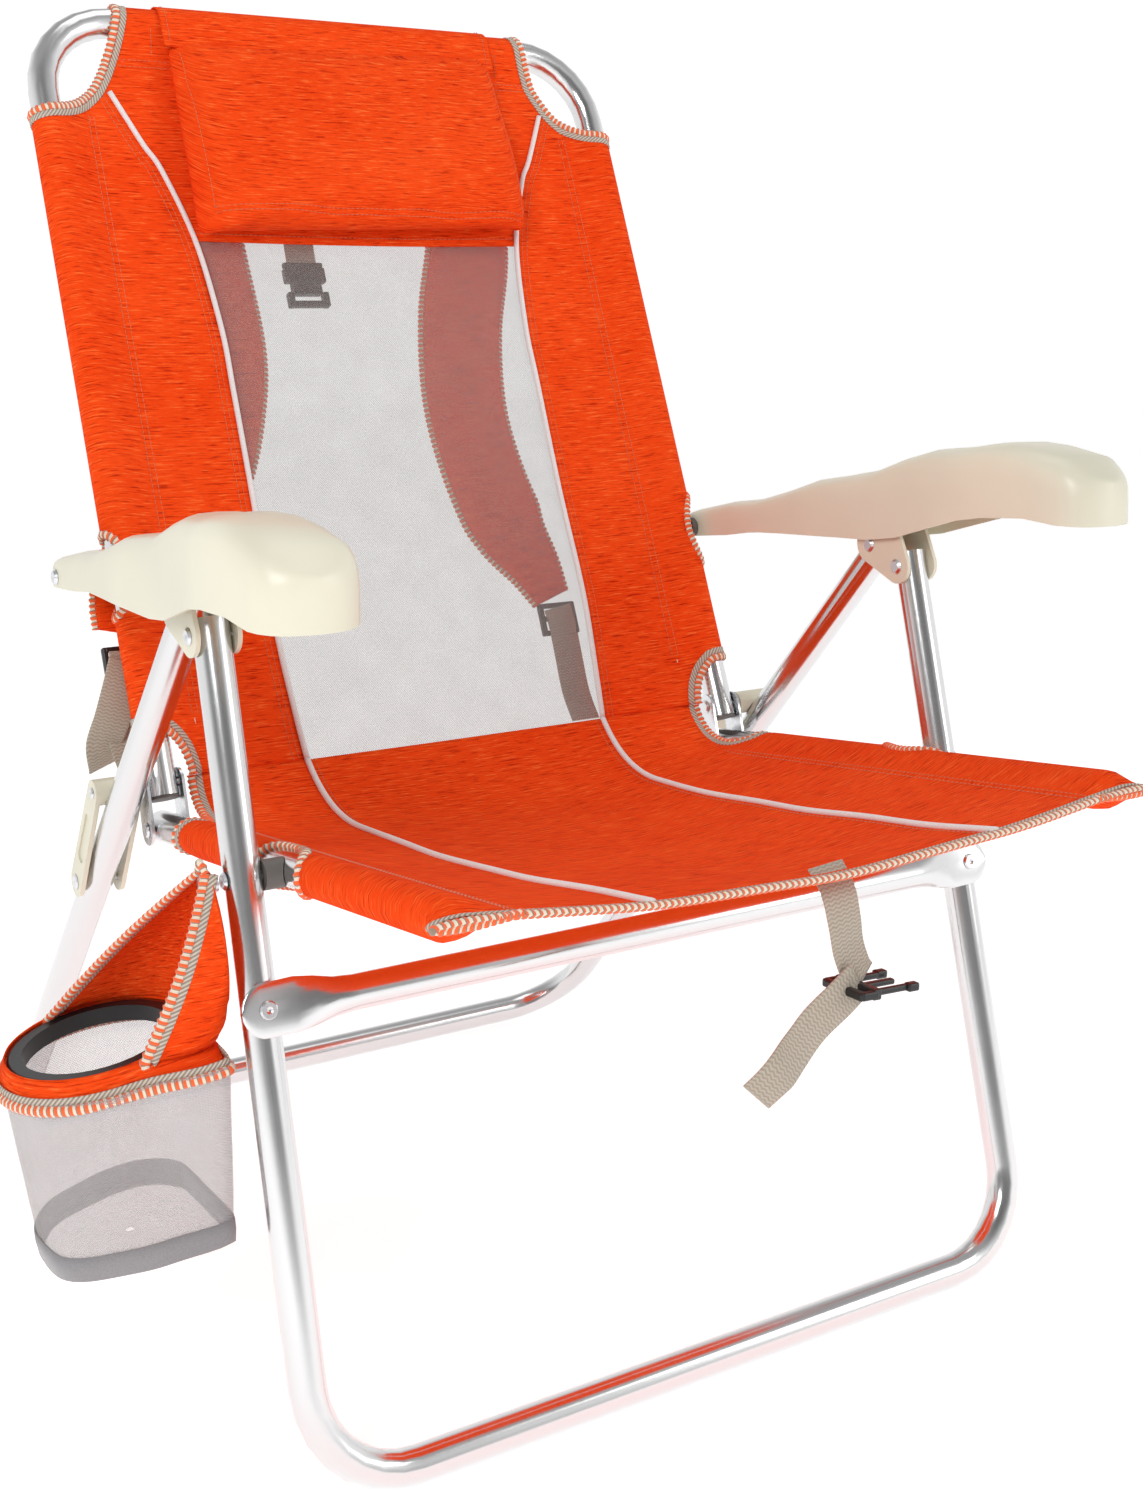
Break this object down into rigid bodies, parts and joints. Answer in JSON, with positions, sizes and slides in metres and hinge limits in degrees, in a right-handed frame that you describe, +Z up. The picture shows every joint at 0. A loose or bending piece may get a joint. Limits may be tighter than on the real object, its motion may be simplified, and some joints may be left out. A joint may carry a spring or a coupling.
{
  "type": "folding beach chair",
  "caption": "Folding beach chair: bent aluminium tubes, fabric sling with mesh window, reclining back, moulded armrests, headrest pillow, back straps and a cup holder.",
  "frame": {"origin": "on the floor, midway between the two floor bars and midway between the legs", "axes": "+Z up; the sitter faces -Y; +X to the sitter's left"},
  "size_m": [0.7021, 0.7411, 0.9007],
  "materials": {
    "tube": "polished 22 mm tube",
    "hardware": "bright rivet, screw and plate steel",
    "cream_plastic": "satin moulded plastic",
    "grey_plastic": "satin moulded plastic",
    "black_plastic": "satin black buckle plastic",
    "sling_cloth": "orange heather woven polyester",
    "mesh_cloth": "open light grey mesh",
    "webbing": "taupe woven webbing"
  },
  "bodies": {
    "front_frame": {"front_leg_frame": "tube", "cross_bar": "tube", "cross_bar_rivet_l": "hardware", "cross_bar_rivet_r": "hardware", "leg_bracket_l": "cream_plastic", "leg_bracket_r": "cream_plastic", "front_leg_rivet_l": "hardware", "front_leg_rivet_r": "hardware", "rear_leg_rivet_l": "hardware", "rear_leg_rivet_r": "hardware", "seat_rivet_l": "hardware", "seat_rivet_r": "hardware", "cup_ring": "black_plastic", "cup_pouch": "mesh_cloth", "cup_hood": "sling_cloth", "cup_snap": "hardware"},
    "rear_leg": {"rear_leg_frame": "tube", "link_rivet_l": "hardware", "link_rivet_r": "hardware"},
    "seat": {"seat_tube_l": "tube", "seat_tube_r": "tube", "seat_spacer_l": "grey_plastic", "seat_spacer_r": "grey_plastic", "inner_plate_l": "hardware", "inner_plate_r": "hardware", "outer_plate_l": "hardware", "outer_plate_r": "hardware", "plate_rivet_l": "hardware", "plate_rivet_r": "hardware", "sling_seat": "sling_cloth", "front_webbing": "webbing", "front_buckle": "black_plastic", "front_webbing_tail": "webbing"},
    "link_l": {"link_l": "cream_plastic", "link_screw_l": "hardware"},
    "link_r": {"link_r": "cream_plastic", "link_screw_r": "hardware"},
    "back_pivots": {"recline_rivet_l": "hardware", "recline_rivet_r": "hardware"},
    "back": {"back_frame": "tube", "back_tube_plug_l": "grey_plastic", "back_tube_plug_r": "grey_plastic", "sling_back": "sling_cloth", "mesh_panel": "mesh_cloth", "pillow": "sling_cloth", "shoulder_strap_l": "sling_cloth", "shoulder_strap_r": "sling_cloth", "strap_lock_l": "black_plastic", "strap_lock_r": "black_plastic", "strap_webbing_l": "webbing", "strap_webbing_r": "webbing", "top_webbing": "webbing", "top_buckle": "black_plastic", "armrest_spacer_l": "grey_plastic", "armrest_spacer_r": "grey_plastic"},
    "armrest_pivot_l": {"armrest_screw_l": "hardware"},
    "armrest_pivot_r": {"armrest_screw_r": "hardware"},
    "armrest_l": {"armrest_l": "cream_plastic"},
    "armrest_r": {"armrest_r": "cream_plastic"}
  },
  "joints": [
    {"name": "fold", "type": "hinge", "parent": "front_frame", "child": "seat", "pos_m": [0, -0.21892, 0.34898], "axis": [1, 0, 0], "range_deg": [-84, 0]},
    {"name": "rear_leg_fold", "type": "hinge", "parent": "front_frame", "child": "rear_leg", "pos_m": [0, -0.15507, 0.49907], "axis": [1, 0, 0], "range_deg": [-55.72, 0]},
    {"name": "link_l_turn", "type": "hinge", "parent": "rear_leg", "child": "link_l", "pos_m": [0, 0.0483, 0.28262], "axis": [1, 0, 0], "range_deg": [-136.37, 0]},
    {"name": "link_r_turn", "type": "hinge", "parent": "rear_leg", "child": "link_r", "pos_m": [0, 0.0483, 0.28262], "axis": [1, 0, 0], "range_deg": [-136.37, 0]},
    {"name": "back_fold", "type": "hinge", "parent": "seat", "child": "back_pivots", "pos_m": [0, 0.003, 0.35494], "axis": [1, 0, 0], "range_deg": [0, 101.05]},
    {"name": "recline", "type": "hinge", "parent": "back_pivots", "child": "back", "pos_m": [0, 0.003, 0.35494], "axis": [1, 0, 0], "range_deg": [-60, 0]},
    {"name": "armrest_l_fold", "type": "hinge", "parent": "back", "child": "armrest_pivot_l", "pos_m": [0, 0.05822, 0.4944], "axis": [1, 0, 0], "range_deg": [-106.55, 0]},
    {"name": "armrest_r_fold", "type": "hinge", "parent": "back", "child": "armrest_pivot_r", "pos_m": [0, 0.05822, 0.4944], "axis": [1, 0, 0], "range_deg": [-106.55, 0]},
    {"name": "armrest_l_turn", "type": "hinge", "parent": "armrest_pivot_l", "child": "armrest_l", "pos_m": [0, 0.05822, 0.4944], "axis": [1, 0, 0], "range_deg": [0, 42.05]},
    {"name": "armrest_r_turn", "type": "hinge", "parent": "armrest_pivot_r", "child": "armrest_r", "pos_m": [0, 0.05822, 0.4944], "axis": [1, 0, 0], "range_deg": [0, 42.05]}
  ],
  "couplings": [
    {"joint": "rear_leg_fold", "follows": "fold", "ratio": 0.6627},
    {"joint": "link_l_turn", "follows": "fold", "ratio": 1.6229},
    {"joint": "link_r_turn", "follows": "fold", "ratio": 1.6229},
    {"joint": "back_fold", "follows": "fold", "ratio": -1.2024},
    {"joint": "armrest_l_fold", "follows": "fold", "ratio": 1.2679},
    {"joint": "armrest_r_fold", "follows": "fold", "ratio": 1.2679},
    {"joint": "armrest_l_turn", "follows": "recline", "ratio": -0.7},
    {"joint": "armrest_r_turn", "follows": "recline", "ratio": -0.7}
  ]
}
